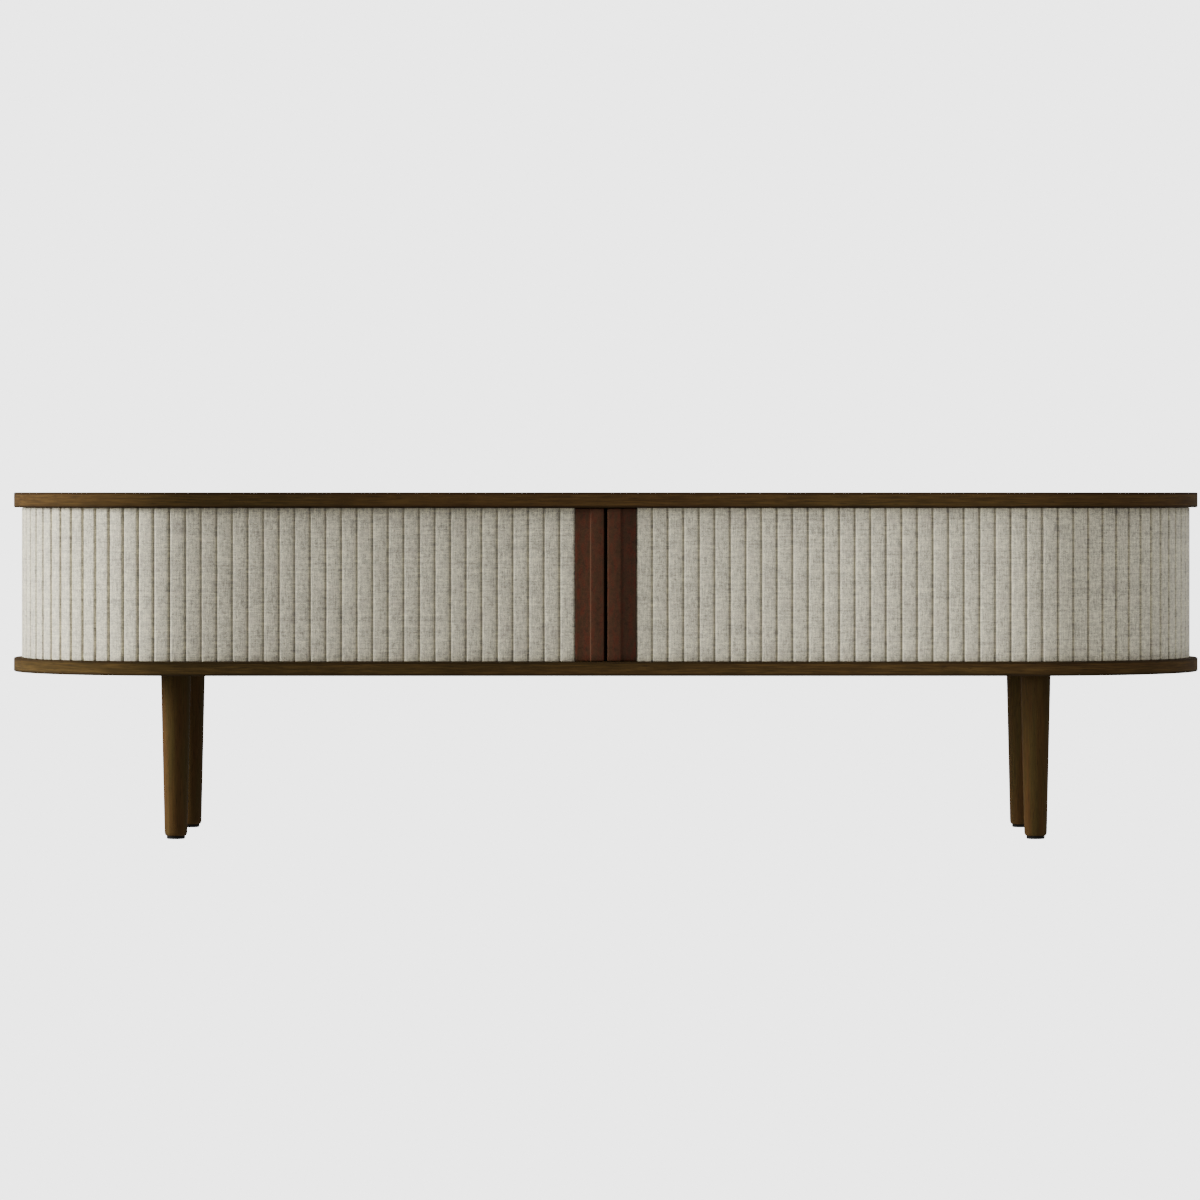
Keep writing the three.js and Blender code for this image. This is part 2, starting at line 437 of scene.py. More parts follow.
@dataclass(frozen=True)
class StainedOak(Finish):
    """Oak, planed or veneered, with a dark brown stain under satin lacquer.

    Oak is ring-porous: broad soft bands from the growth rings, and short dark pores along the
    grain that hold the stain. The lacquer gives a low, even gloss.
    """

    grain: Grain = Grain.SHEET
    light: str = "#4C3A1E"
    middle: str = "#3E2E17"
    dark: str = "#312410"
    pore: str = "#261B0B"
    red: str = "#432A13"
    olive: str = "#3A3115"
    eased: str = "#120B05"  # painted shade that darkens an eased edge
    edge_shade_share: float = 0.6
    ring_mm: Pair = (260.0, 9.0)  # length and width of a growth ring where the saw crossed it
    flame_mm: Pair = (130.0, 3.6)  # the same of a darker flame in a ring
    fibre_mm: Pair = (38.0, 1.7)
    pore_mm: Pair = (16.0, 0.9)  # real pores are 0.3 mm wide, drawn coarser so that they show
    cloud_mm: Pair = (420.0, 46.0)  # of a slow change of tone
    ring_share: float = 0.24  # how much each of them has of the tone
    cloud_share: float = 0.10
    fibre_share: float = 0.44
    flame_share: float = 0.22
    leaf_mm: float = 116.0  # width of one veneer leaf
    leaf_shift: float = 7.31  # how far the grain of the next leaf is moved, in metres
    roughness: float = 0.78
    specular: float = 0.1
    spread: float = 0.085  # how far from the middle tone the light and dark ones are
    contrast: float = 1.0
    tint: float = 0.25  # how far the stain wanders between red and olive brown

    @property
    def name(self) -> str:
        """The material's name."""
        return f"oak_stained_satin_lacquered_{self.grain.name.lower()}"

    def surface(self, tree: bpy.types.NodeTree) -> dict[str, object]:
        """Adds the nodes of the grain.

        Args:
            tree: The material's node tree.

        Returns:
            The surface's inputs.
        """
        mapped = self.grain is Grain.SHEET
        source = add(tree, "ShaderNodeTexCoord").outputs["UV" if mapped else "Object"]
        axes = add(tree, "ShaderNodeSeparateXYZ", {0: source}).outputs
        order = {Grain.SHEET: (0, 1, 2), Grain.UPRIGHT: (2, 0, 1), Grain.LONG: (0, 2, 1)}[self.grain]
        along, across, through = (axes[n] for n in order)
        inputs = {0: across, 1: self.leaf_mm * MM}
        leaf = add(tree, "ShaderNodeMath", inputs, operation="DIVIDE").outputs[0]
        leaf = add(tree, "ShaderNodeMath", {0: leaf}, operation="FLOOR").outputs[0]
        inputs = {0: leaf, 1: self.leaf_shift, 2: along}
        shifted = add(tree, "ShaderNodeMath", inputs, operation="MULTIPLY_ADD").outputs[0]
        place_on = add(tree, "ShaderNodeCombineXYZ", {0: shifted, 1: across, 2: through}).outputs[0]

        def streaks(size_mm: Pair, detail: float, rough: float) -> bpy.types.NodeSocket:
            """Adds a noise stretched along the grain.

            Args:
                size_mm: The length and width of a streak.
                detail: How many finer noises are added to it.
                rough: How strong these are.

            Returns:
                The noise.
            """
            scale = (1 / (size_mm[0] * MM), 1 / (size_mm[1] * MM), 1 / (size_mm[1] * MM))
            vector = add(tree, "ShaderNodeMapping", {"Vector": place_on, "Scale": scale}).outputs[0]
            values = {"Vector": vector, "Scale": 1.0, "Detail": detail, "Roughness": rough}
            return add(tree, "ShaderNodeTexNoise", values).outputs[0]

        clouds = streaks(self.cloud_mm, 2.0, 0.5)
        rings = streaks(self.ring_mm, 3.0, 0.6)
        flames = streaks(self.flame_mm, 2.0, 0.6)
        fibres = streaks(self.fibre_mm, 1.0, 0.6)
        pores = streaks(self.pore_mm, 1.0, 0.4)
        tone = 0.0
        for noise, share in (
            (rings, self.ring_share),
            (clouds, self.cloud_share),
            (fibres, self.fibre_share),
            (flames, self.flame_share),
        ):
            inputs = {0: noise, 1: share, 2: tone}
            tone = add(tree, "ShaderNodeMath", inputs, operation="MULTIPLY_ADD").outputs[0]
        spread = self.spread / self.contrast
        stops = [(0.5 - spread, self.dark), (0.5, self.middle), (0.5 + spread, self.light)]
        colour = add(tree, "ShaderNodeValToRGB", {0: tone}, stops).outputs[0]
        stops = [(0.36, self.olive), (0.62, self.red)]
        stain = add(tree, "ShaderNodeValToRGB", {0: clouds}, stops).outputs[0]
        inputs = {0: pores, 1: 0.40, 2: 0.30, 3: 0.0, 4: 0.6}
        open_pore = add(tree, "ShaderNodeMapRange", inputs).outputs[0]
        # Painted shade: eased edges are darkened towards the eased colour.
        edge = add(tree, "ShaderNodeAttribute", attribute_name="edge").outputs["Fac"]
        inputs = {0: edge, 1: self.edge_shade_share}
        edge = add(tree, "ShaderNodeMath", inputs, operation="MULTIPLY").outputs[0]
        for share, other in (
            (self.tint, stain),
            (open_pore, linear(self.pore)),
            (edge, linear(self.eased)),
        ):
            inputs = {0: share, 6: colour, 7: other}
            colour = add(tree, "ShaderNodeMix", inputs, data_type="RGBA").outputs[2]
        inputs = {0: fibres, 3: self.roughness - 0.07, 4: self.roughness + 0.09}
        rough = add(tree, "ShaderNodeMapRange", inputs).outputs[0]
        inputs = {0: open_pore, 1: -1.0, 2: fibres}
        height = add(tree, "ShaderNodeMath", inputs, operation="MULTIPLY_ADD").outputs[0]
        inputs = {"Height": height, "Strength": 0.25, "Distance": 0.25 * MM}
        bump = add(tree, "ShaderNodeBump", inputs).outputs[0]
        values = {"Base Color": colour, "Roughness": rough, "IOR": 1.5, "Normal": bump}
        return values | {"Specular IOR Level": self.specular}


@dataclass(frozen=True)
class WovenCloth(Finish):
    """Cloth in plain weave, spun from mixed light and dark fibres.

    Each thread is a little lighter or darker than the next, with thick places along it, so the
    cloth looks flecked and streaky both ways. It has no gloss, only a faint fuzz of loose fibres.
    """

    name: str
    light: str
    middle: str
    dark: str
    warm: str = "#B9AC9C"
    thread_mm: float = 1.15  # real threads are about 0.7 mm, drawn coarser so that they show
    slub_mm: float = 18.0  # length of a thick place in a thread
    pick_mm: float = 170.0  # how far one darker weft thread can be followed
    patch_mm: float = 34.0  # size of the slow changes of tone
    warm_share: float = 0.2
    sheen: float = 0.25
    specular: float = 0.2
    roughness: float = 0.93
    spread: float = 0.15  # how far from the middle tone the light and dark ones are
    contrast: float = 1.0

    def surface(self, tree: bpy.types.NodeTree) -> dict[str, object]:
        """Adds the nodes of the weave.

        Args:
            tree: The material's node tree.

        Returns:
            The surface's inputs.
        """
        cloth_map = add(tree, "ShaderNodeTexCoord").outputs["UV"]

        def yarn(size_mm: Pair, detail: float = 1.0, shift: float = 0.0) -> bpy.types.NodeSocket:
            """Adds a noise on the cloth's map.

            Args:
                size_mm: The width and height of a spot.
                detail: How many finer noises are added to it.
                shift: How far it is moved, so that no two look alike.

            Returns:
                The noise.
            """
            scale = (1 / (size_mm[0] * MM), 1 / (size_mm[1] * MM), 1.0)
            values = {"Vector": cloth_map, "Location": (shift, shift, shift), "Scale": scale}
            vector = add(tree, "ShaderNodeMapping", values).outputs[0]
            values = {"Vector": vector, "Scale": 1.0, "Detail": detail, "Roughness": 0.6}
            return add(tree, "ShaderNodeTexNoise", values).outputs[0]

        thread, slub, patch = self.thread_mm, self.slub_mm, self.patch_mm
        layers = [
            (yarn((thread * 1.3, slub)), 0.34),  # warp threads
            (yarn((slub * 1.2, thread * 1.3), 1.0, 3.7), 0.18),  # weft threads
            (yarn((thread * 1.1, thread * 1.3), 0.0, 9.1), 0.32),  # single crossings
            (yarn((thread * 4.4, thread * 3.8), 1.0, 6.2), 0.30),  # flecks
            (yarn((self.pick_mm, thread * 1.9), 1.0, 8.4), 0.15),  # long weft threads
            (yarn((patch, patch), 2.0, 5.3), 0.12),
        ]
        tone = 0.5 - sum(weight for _, weight in layers) / 2
        for noise, weight in layers:
            inputs = {0: noise, 1: weight, 2: tone}
            tone = add(tree, "ShaderNodeMath", inputs, operation="MULTIPLY_ADD").outputs[0]
        spread = self.spread / self.contrast
        stops = [(0.5 - spread, self.dark), (0.5, self.middle), (0.5 + spread, self.light)]
        colour = add(tree, "ShaderNodeValToRGB", {0: tone}, stops).outputs[0]
        warmth = yarn((patch * 0.8, patch * 0.6), 1.0, 12.9)
        inputs = {0: warmth, 1: 0.52, 2: 0.72, 3: 0.0, 4: self.warm_share}
        warmth = add(tree, "ShaderNodeMapRange", inputs).outputs[0]
        inputs = {0: warmth, 6: colour, 7: linear(self.warm)}
        colour = add(tree, "ShaderNodeMix", inputs, data_type="RGBA").outputs[2]
        slat = add(tree, "ShaderNodeAttribute", attribute_name="tone").outputs["Fac"]
        bright = add(tree, "ShaderNodeMapRange", {0: slat, 3: 0.97, 4: 1.03}).outputs[0]
        inputs = {0: colour, "Scale": bright}
        colour = add(tree, "ShaderNodeVectorMath", inputs, operation="SCALE").outputs[0]

        def threads(axis: int) -> bpy.types.NodeSocket:
            """Adds the round backs of a set of threads.

            Args:
                axis: The axis of the map that they cross, as 0 or 1.

            Returns:
                Their height.
            """
            part = add(tree, "ShaderNodeSeparateXYZ", {0: cloth_map}).outputs[axis]
            inputs = {0: part, 1: math.pi / (thread * MM)}
            part = add(tree, "ShaderNodeMath", inputs, operation="MULTIPLY").outputs[0]
            return add(tree, "ShaderNodeMath", {0: part}, operation="SINE").outputs[0]

        inputs = {0: threads(0), 1: threads(1)}
        weave = add(tree, "ShaderNodeMath", inputs, operation="MULTIPLY").outputs[0]
        inputs = {0: weave, 1: 0.35, 2: tone}
        height = add(tree, "ShaderNodeMath", inputs, operation="MULTIPLY_ADD").outputs[0]
        inputs = {"Height": height, "Strength": 0.55, "Distance": 0.5 * MM}
        bump = add(tree, "ShaderNodeBump", inputs).outputs[0]
        values = {"Base Color": colour, "Roughness": self.roughness, "IOR": 1.45, "Normal": bump}
        values |= {"Sheen Weight": self.sheen, "Sheen Roughness": 0.5}
        return values | {"Specular IOR Level": self.specular}


@dataclass(frozen=True)
class FinishedLeather(Finish):
    """Cattle hide, drum-dyed dark brown and lightly waxed.

    Fine pebbled grain with creases, slow changes between red and olive brown where the dye took
    unevenly, and a soft broad gloss from the wax.
    """

    name: str = "leather_drum_dyed_waxed"
    middle: str = "#371F13"
    red: str = "#45190D"
    olive: str = "#2C1E0F"
    edge_highlight: str = "#4C3222"  # painted highlight on the pull's edges
    pebble_mm: float = 1.3
    patch_mm: float = 13.0
    crease_mm: float = 6.25
    roughness: float = 0.58
    specular: float = 0.14

    def surface(self, tree: bpy.types.NodeTree) -> dict[str, object]:
        """Adds the nodes of the hide.

        Args:
            tree: The material's node tree.

        Returns:
            The surface's inputs.
        """
        hide = add(tree, "ShaderNodeTexCoord").outputs["UV"]
        scale = 1 / (self.patch_mm * MM)
        values = {"Vector": hide, "Scale": (scale * 2.2, scale * 0.7, 1.0)}
        stretch = add(tree, "ShaderNodeMapping", values).outputs[0]
        values = {"Vector": stretch, "Scale": 1.0, "Detail": 3.0}
        patch = add(tree, "ShaderNodeTexNoise", values).outputs[0]
        stops = [(0.38, self.olive), (0.5, self.middle), (0.62, self.red)]
        colour = add(tree, "ShaderNodeValToRGB", {0: patch}, stops).outputs[0]
        values = {"Vector": hide, "Scale": 1 / (self.pebble_mm * MM), "Randomness": 0.9}
        pebble = add(tree, "ShaderNodeTexVoronoi", values, feature="SMOOTH_F1").outputs["Distance"]
        values = {"Vector": hide, "Scale": 1 / (self.crease_mm * MM), "Detail": 4.0, "Distortion": 0.8}
        crease = add(tree, "ShaderNodeTexNoise", values).outputs[0]
        # Painted light and shade: the pebbles' tops are lightened and the valleys between them, which the
        # bump sinks, are darkened.
        inputs = {0: pebble, 1: 0.1, 2: 0.75, 3: 1.4, 4: 0.45}
        shade = add(tree, "ShaderNodeMapRange", inputs).outputs[0]
        inputs = {0: colour, "Scale": shade}
        colour = add(tree, "ShaderNodeVectorMath", inputs, operation="SCALE").outputs[0]
        # Painted highlight: the pull's edges are lightened towards the edge highlight colour, broken up by
        # the creases.
        edge = add(tree, "ShaderNodeAttribute", attribute_name="edge").outputs["Fac"]
        inputs = {0: edge, 1: crease}
        wear_and_highlight = add(tree, "ShaderNodeMath", inputs, operation="MULTIPLY", use_clamp=True).outputs[0]
        inputs = {0: wear_and_highlight, 6: colour, 7: linear(self.edge_highlight)}
        colour = add(tree, "ShaderNodeMix", inputs, data_type="RGBA").outputs[2]
        inputs = {0: crease, 1: 0.3, 2: 0.7, 3: self.roughness - 0.08, 4: self.roughness + 0.12}
        rough = add(tree, "ShaderNodeMapRange", inputs).outputs[0]
        inputs = {0: pebble, 1: -0.8, 2: crease}
        height = add(tree, "ShaderNodeMath", inputs, operation="MULTIPLY_ADD").outputs[0]
        inputs = {"Height": height, "Strength": 0.5, "Distance": 0.2 * MM}
        bump = add(tree, "ShaderNodeBump", inputs).outputs[0]
        values = {"Base Color": colour, "Roughness": rough, "IOR": 1.48, "Normal": bump}
        return values | {"Specular IOR Level": self.specular}


@dataclass(frozen=True)
class Fitting(Finish):
    """A plain fitting, either black moulded ABS or zinc-plated steel.

    The moulded part has a fine spark-eroded grain from its tool; the plated one has a faint
    spangle and streaks of wear.
    """

    name: str
    colour: str
    wear_and_highlight: str
    roughness: float
    metallic: float
    grain_mm: float
    scuff_mm: float = 1000 / 220
    specular: float = 0.5

    def surface(self, tree: bpy.types.NodeTree) -> dict[str, object]:
        """Adds the nodes of the grain and the wear.

        Args:
            tree: The material's node tree.

        Returns:
            The surface's inputs.
        """
        place_on = add(tree, "ShaderNodeTexCoord").outputs["Object"]
        values = {"Vector": place_on, "Scale": 1 / (self.grain_mm * MM), "Detail": 2.0}
        fine = add(tree, "ShaderNodeTexNoise", values).outputs[0]
        values = {"Vector": place_on, "Scale": 1 / (self.scuff_mm * MM), "Detail": 4.0}
        scuff = add(tree, "ShaderNodeTexNoise", values).outputs[0]
        stops = [(0.45, self.colour), (0.75, self.wear_and_highlight)]
        colour = add(tree, "ShaderNodeValToRGB", {0: scuff}, stops).outputs[0]
        inputs = {0: scuff, 1: 0.3, 2: 0.7, 3: self.roughness - 0.06, 4: self.roughness + 0.1}
        rough = add(tree, "ShaderNodeMapRange", inputs).outputs[0]
        inputs = {"Height": fine, "Strength": 0.2, "Distance": 0.05 * MM}
        bump = add(tree, "ShaderNodeBump", inputs).outputs[0]
        values = {"Base Color": colour, "Roughness": rough, "Normal": bump}
        return values | {"Metallic": self.metallic, "Specular IOR Level": self.specular}


# The beige-grey cloth that the slats are wrapped in.
DOOR_CLOTH = WovenCloth("polyester_linen_melange_plain_woven", "#D9D3B6", "#B5AF9A", "#868277")
# The unbleached cloth that the slats are glued to, calmer and greyer.
BACKING = WovenCloth(
    "cotton_canvas_unbleached_woven", "#9C9C98", "#84847F", "#686865", "#898682", contrast=0.7
)
# Turned oak, whose grain runs up the leg and looks calmer than a veneer's.
LEG_OAK = StainedOak(Grain.UPRIGHT, contrast=0.6, tint=0.5, cloud_mm=(120.0, 12.0))
# Moulded ABS, deep black with hardly any gloss.
BLACK_ABS = Fitting("abs_black_moulded", "#090808", "#131211", 0.62, 0.0, 0.4, specular=0.15)
# Zinc-plated steel, pale grey with a faint spangle.
PLATED_STEEL = Fitting("steel_zinc_plated", "#A4A6A8", "#7E8082", 0.32, 1.0, 0.9)


# ---------------------------------------------------------------- geometry nodes


RIPPLES_PER_METRE = 45.0  # how often the wrapped cloth wanders in and out


@dataclass
class RepeatTree:
    """A geometry tree that repeats one blank, with its named inputs."""

    tree: bpy.types.GeometryNodeTree
    sockets: dict[str, str] = field(default_factory=dict)

    @classmethod
    def start(cls, name: str, inputs: Sequence[tuple[str, str]]) -> "RepeatTree":
        """Starts a tree.

        Args:
            name: The tree's name.
            inputs: Each input's name and socket type.

        Returns:
            The tree with its inputs and one geometry output.
        """
        tree = bpy.data.node_groups.new(name, "GeometryNodeTree")
        tree.interface.new_socket(name="Geometry", in_out="OUTPUT", socket_type="NodeSocketGeometry")
        made = cls(tree)
        for label, kind in inputs:
            socket = tree.interface.new_socket(name=label, in_out="INPUT", socket_type=kind)
            made.sockets[label] = socket.identifier
        return made

    def run(self, name: str, **values: object) -> bpy.types.Mesh:
        """Evaluates the tree on a bare object.

        Args:
            name: The name of the resulting mesh.
            values: A value for each input, with _ for each space in its name.

        Returns:
            A plain mesh of real faces.
        """
        holder = bpy.data.objects.new(name, bpy.data.meshes.new(name + "_seed"))
        bpy.context.scene.collection.objects.link(holder)
        modifier = holder.modifiers.new("repeat", "NODES")
        modifier.node_group = self.tree
        for label, value in values.items():
            modifier[self.sockets[label.replace("_", " ")]] = value
        shown = bpy.context.evaluated_depsgraph_get()
        mesh = bpy.data.meshes.new_from_object(
            holder.evaluated_get(shown), preserve_all_data_layers=True, depsgraph=shown
        )
        holder.modifiers.remove(modifier)
        bpy.data.objects.remove(holder)
        mesh.name = name
        return mesh


def slat_tree() -> RepeatTree:
    """Builds the tree that stands slats along the tambour track.

    Returns:
        The tree. Its slats keep the distance along the track and their own tone.
    """
    made = RepeatTree.start(
        "slats_along_track",
        [
            ("Blank", "NodeSocketObject"),
            ("Material", "NodeSocketMaterial"),
            ("Start", "NodeSocketFloat"),
            ("Count", "NodeSocketInt"),
            ("Pitch", "NodeSocketFloat"),
            ("Track Radius", "NodeSocketFloat"),
            ("Straight Half", "NodeSocketFloat"),
            ("Side", "NodeSocketFloat"),
            ("Unevenness", "NodeSocketFloat"),
            ("Seed", "NodeSocketInt"),
        ],
    )
    tree = made.tree
    given = add(tree, "NodeGroupInput").outputs

    sums: dict[object, object] = {"index": add(tree, "GeometryNodeInputIndex").outputs[0]}
    sums |= {name: given[name] for name in ("Start", "Pitch", "Track Radius", "Straight Half", "Side")}
    for name, operation, *terms in (
        ("step", "ADD", "index", 0.5),
        ("middle", "MULTIPLY_ADD", "step", "Pitch", "Start"),
        ("past", "SUBTRACT", "middle", "Straight Half"),
        ("angle", "DIVIDE", "past", "Track Radius"),
        ("angle", "MAXIMUM", "angle", 0.0),
        ("turn", "MINIMUM", "angle", math.pi),
        ("curve end", "MULTIPLY_ADD", "Track Radius", math.pi, "Straight Half"),
        ("beyond", "SUBTRACT", "middle", "curve end"),
        ("beyond", "MAXIMUM", "beyond", 0.0),
        ("front", "MINIMUM", "middle", "Straight Half"),
        ("sine", "SINE", "turn"),
        ("x", "MULTIPLY_ADD", "sine", "Track Radius", "front"),
        ("x", "SUBTRACT", "x", "beyond"),
        ("cosine", "COSINE", "turn"),
        ("back", "MULTIPLY", "Track Radius", -1.0),
        ("y", "MULTIPLY", "cosine", "back"),
        ("sided x", "MULTIPLY", "x", "Side"),
        ("sided turn", "MULTIPLY", "turn", "Side"),
        ("track", "MULTIPLY", "middle", "Side"),
    ):
        inputs = {n: sums.get(term, term) for n, term in enumerate(terms)}
        sums[name] = add(tree, "ShaderNodeMath", inputs, operation=operation).outputs[0]
    spot = add(tree, "ShaderNodeCombineXYZ", {0: sums["sided x"], 1: sums["y"]}).outputs[0]
    spin = add(tree, "ShaderNodeCombineXYZ", {2: sums["sided turn"]}).outputs[0]
    line = add(tree, "GeometryNodeMeshLine", {"Count": given["Count"]}).outputs[0]
    line = add(tree, "GeometryNodeSetPosition", {"Geometry": line, "Position": spot}).outputs[0]
    blank = add(tree, "GeometryNodeObjectInfo", {"Object": given["Blank"]}).outputs["Geometry"]
    inputs = {"Points": line, "Instance": blank, "Rotation": spin}
    shapes = add(tree, "GeometryNodeInstanceOnPoints", inputs).outputs[0]
    inputs = {"ID": sums["index"], "Seed": given["Seed"]}
    tone = add(tree, "FunctionNodeRandomValue", inputs, data_type="FLOAT").outputs[1]
    kind = {"data_type": "FLOAT", "domain": "INSTANCE"}
    for name, value in (("tone", tone), ("track", sums["track"])):
        inputs = {"Geometry": shapes, "Name": name, "Value": value}
        shapes = add(tree, "GeometryNodeStoreNamedAttribute", inputs, **kind).outputs[0]
    shapes = add(tree, "GeometryNodeRealizeInstances", {0: shapes}).outputs[0]
    position = add(tree, "GeometryNodeInputPosition").outputs[0]
    inputs = {"Vector": position, "Scale": RIPPLES_PER_METRE, "Detail": 2.0}
    ripple = add(tree, "ShaderNodeTexNoise", inputs).outputs["Color"]
    for operation, inputs in (
        ("SUBTRACT", {1: (0.5, 0.5, 0.5)}),
        ("SCALE", {"Scale": given["Unevenness"]}),
        ("MULTIPLY", {1: (1.0, 1.0, 0.0)}),
    ):
        inputs = {0: ripple, **inputs}
        ripple = add(tree, "ShaderNodeVectorMath", inputs, operation=operation).outputs[0]
    height = add(tree, "ShaderNodeSeparateXYZ", {0: position}).outputs[2]
    track = add(tree, "GeometryNodeInputNamedAttribute", {0: "track"}, data_type="FLOAT").outputs[0]
    wrap = add(tree, "GeometryNodeInputNamedAttribute", {0: "wrap"}, data_type="FLOAT").outputs[0]
    across = add(tree, "ShaderNodeMath", {0: track, 1: wrap}, operation="ADD").outputs[0]
    cloth_map = add(tree, "ShaderNodeCombineXYZ", {0: across, 1: height}).outputs[0]
    kind = {"data_type": "FLOAT2", "domain": "CORNER"}
    inputs = {"Geometry": shapes, "Name": "UVMap", "Value": cloth_map}
    shapes = add(tree, "GeometryNodeStoreNamedAttribute", inputs, **kind).outputs[0]
    inputs = {"Geometry": shapes, "Offset": ripple}
    shapes = add(tree, "GeometryNodeSetPosition", inputs).outputs[0]
    inputs = {"Geometry": shapes, "Material": given["Material"]}
    shapes = add(tree, "GeometryNodeSetMaterial", inputs).outputs[0]
    add(tree, "NodeGroupOutput", {0: shapes})
    return made


def row_tree() -> RepeatTree:
    """Builds the tree that repeats a fixing in an even row.

    Returns:
        The tree. Each copy is turned at random about its own axis, so that no two crosses line up.
    """
    made = RepeatTree.start(
        "fixings_in_row",
        [
            ("Blank", "NodeSocketObject"),
            ("Material", "NodeSocketMaterial"),
            ("Start", "NodeSocketVector"),
            ("Step", "NodeSocketVector"),
            ("Count", "NodeSocketInt"),
            ("Aim", "NodeSocketVector"),
            ("Seed", "NodeSocketInt"),
        ],
    )
    tree = made.tree
    given = add(tree, "NodeGroupInput").outputs
    inputs = {"Count": given["Count"], "Start Location": given["Start"], "Offset": given["Step"]}
    line = add(tree, "GeometryNodeMeshLine", inputs, mode="OFFSET").outputs[0]
    blank = add(tree, "GeometryNodeObjectInfo", {"Object": given["Blank"]}).outputs["Geometry"]
    inputs = {3: math.pi, "Seed": given["Seed"]}
    spin = add(tree, "FunctionNodeRandomValue", inputs, data_type="FLOAT").outputs[1]
    about = add(tree, "ShaderNodeCombineXYZ", {2: spin}).outputs[0]
    local = add(tree, "FunctionNodeEulerToRotation", {0: about}).outputs[0]
    aim = add(tree, "FunctionNodeEulerToRotation", {0: given["Aim"]}).outputs[0]
    inputs = {0: aim, 1: local}
    turn = add(tree, "FunctionNodeRotateRotation", inputs, rotation_space="LOCAL").outputs[0]
    inputs = {"Points": line, "Instance": blank, "Rotation": turn}
    shapes = add(tree, "GeometryNodeInstanceOnPoints", inputs).outputs[0]
    shapes = add(tree, "GeometryNodeRealizeInstances", {0: shapes}).outputs[0]
    inputs = {"Geometry": shapes, "Material": given["Material"]}
    shapes = add(tree, "GeometryNodeSetMaterial", inputs).outputs[0]
    add(tree, "NodeGroupOutput", {0: shapes})
    return made


def blank_of(draft: Draft, name: str) -> bpy.types.Object:
    """Makes the unlinked object that a tree repeats."""
    return bpy.data.objects.new(name, draft.mesh(name))


# ---------------------------------------------------------------- sub-assemblies


@dataclass
class Finishes:
    """The materials that the pieces share."""

    veneer: bpy.types.Material = field(default_factory=lambda: StainedOak().build())
    upright_oak: bpy.types.Material = field(default_factory=LEG_OAK.build)
    long_oak: bpy.types.Material = field(default_factory=lambda: StainedOak(Grain.LONG).build())
    cloth: bpy.types.Material = field(default_factory=DOOR_CLOTH.build)
    backing: bpy.types.Material = field(default_factory=BACKING.build)
    leather: bpy.types.Material = field(default_factory=lambda: FinishedLeather().build())
    plastic: bpy.types.Material = field(default_factory=BLACK_ABS.build)
    steel: bpy.types.Material = field(default_factory=PLATED_STEEL.build)


@dataclass(frozen=True)
class Track:
    """The line that the tambour doors follow, round the inner face of their backing."""

    pitch: float = 19.2 * MM
    end_slats: int = 35
    slat: float = 8.0 * MM

    @property
    def radius(self) -> float:
        """The radius of the half-circles, which the end slats fill exactly."""
        return self.end_slats * self.pitch / math.pi

    @property
    def straight_half(self) -> float:
        """Half the straight front, from the boards' own size."""
        low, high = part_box("top_board")
        return (high[0] - low[0]) / 2 - (high[1] - low[1]) / 2


